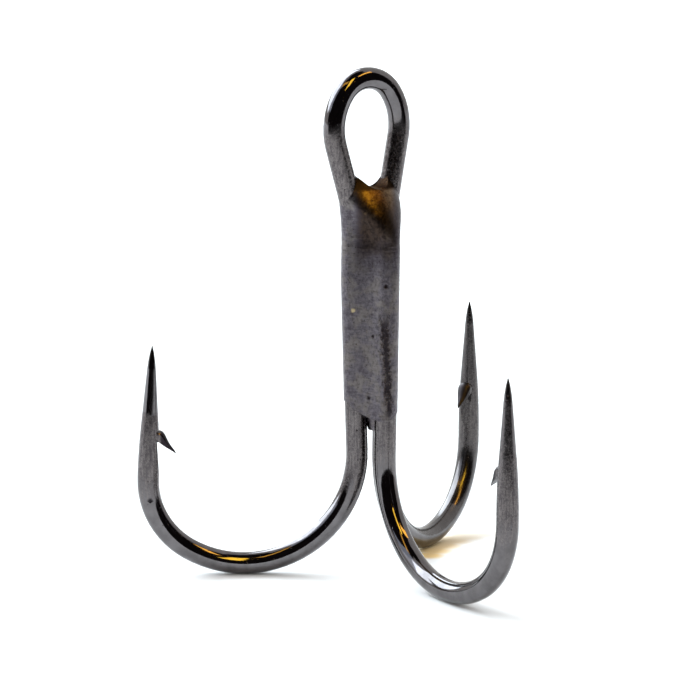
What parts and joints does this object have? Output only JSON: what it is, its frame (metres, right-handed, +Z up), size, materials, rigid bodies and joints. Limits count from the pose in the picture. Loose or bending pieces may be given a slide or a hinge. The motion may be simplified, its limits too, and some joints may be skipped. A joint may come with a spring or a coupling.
{
  "type": "treble fishing hook",
  "caption": "Barbed treble hook: a bent-wire double hook with a teardrop line eye, and a nested single hook, held by a brazed shank.",
  "frame": {"origin": "on the shank's axis, at the level that the three bends stand on", "axes": "+Z up the shank to the eye; the single hook bends out towards -Y; the double hook's two bends lie at 30 degrees and 150 degrees from +X towards +Y; the eye's opening faces along Y, turned about 3 degrees"},
  "size_m": [0.0258, 0.0224, 0.0317],
  "materials": {
    "hook_wire": "smoked black nickel over steel, bright on the bends and satin on the straight lengths",
    "braze": "plated braze, satin and finely mottled, browner under the eye"
  },
  "bodies": {
    "root": {"double_hook": "hook_wire", "single_hook": "hook_wire", "shank_braze": "braze"}
  },
  "joints": []
}
